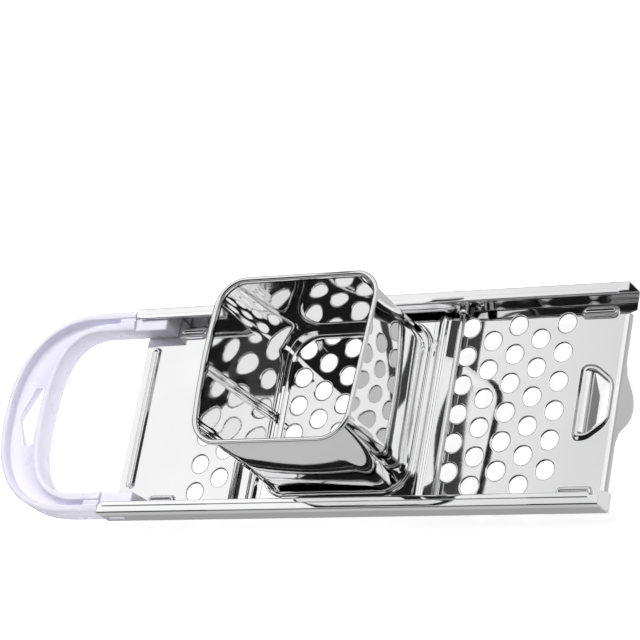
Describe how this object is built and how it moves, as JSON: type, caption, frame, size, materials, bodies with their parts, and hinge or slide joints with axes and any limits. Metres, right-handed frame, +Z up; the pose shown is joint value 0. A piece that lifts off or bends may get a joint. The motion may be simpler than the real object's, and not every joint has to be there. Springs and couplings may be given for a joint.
{
  "type": "spaetzle maker",
  "caption": "Perforated steel sheet with folded rails and a plastic D-grip; a square dough hopper on a wire-edged carriage slides between end stops.",
  "frame": {"origin": "middle of the hole pattern, on the underside of the perforated sheet", "axes": "+X along the sheet towards the pot hook, -X towards the grip, +Y across the sheet, +Z up out of the hopper"},
  "size_m": [0.3115, 0.0996, 0.0706],
  "materials": {
    "polished_steel": "mirror-polished stainless sheet",
    "drawn_wire": "bright drawn stainless wire and tube",
    "lilac_white_plastic": "moulded, satin gloss"
  },
  "bodies": {
    "grater": {"perforated_sheet": "polished_steel", "grip": "lilac_white_plastic"},
    "hopper_carriage": {"carriage_frame": "polished_steel", "hopper": "polished_steel", "front_rod": "drawn_wire", "rear_rod": "drawn_wire", "front_far_collar": "drawn_wire", "front_near_collar": "drawn_wire", "rear_far_collar": "drawn_wire", "rear_near_collar": "drawn_wire"}
  },
  "joints": [
    {"name": "carriage_slide", "type": "slide", "parent": "grater", "child": "hopper_carriage", "axis": [1, 0, 0], "range_m": [-0.0282, 0.054]}
  ]
}
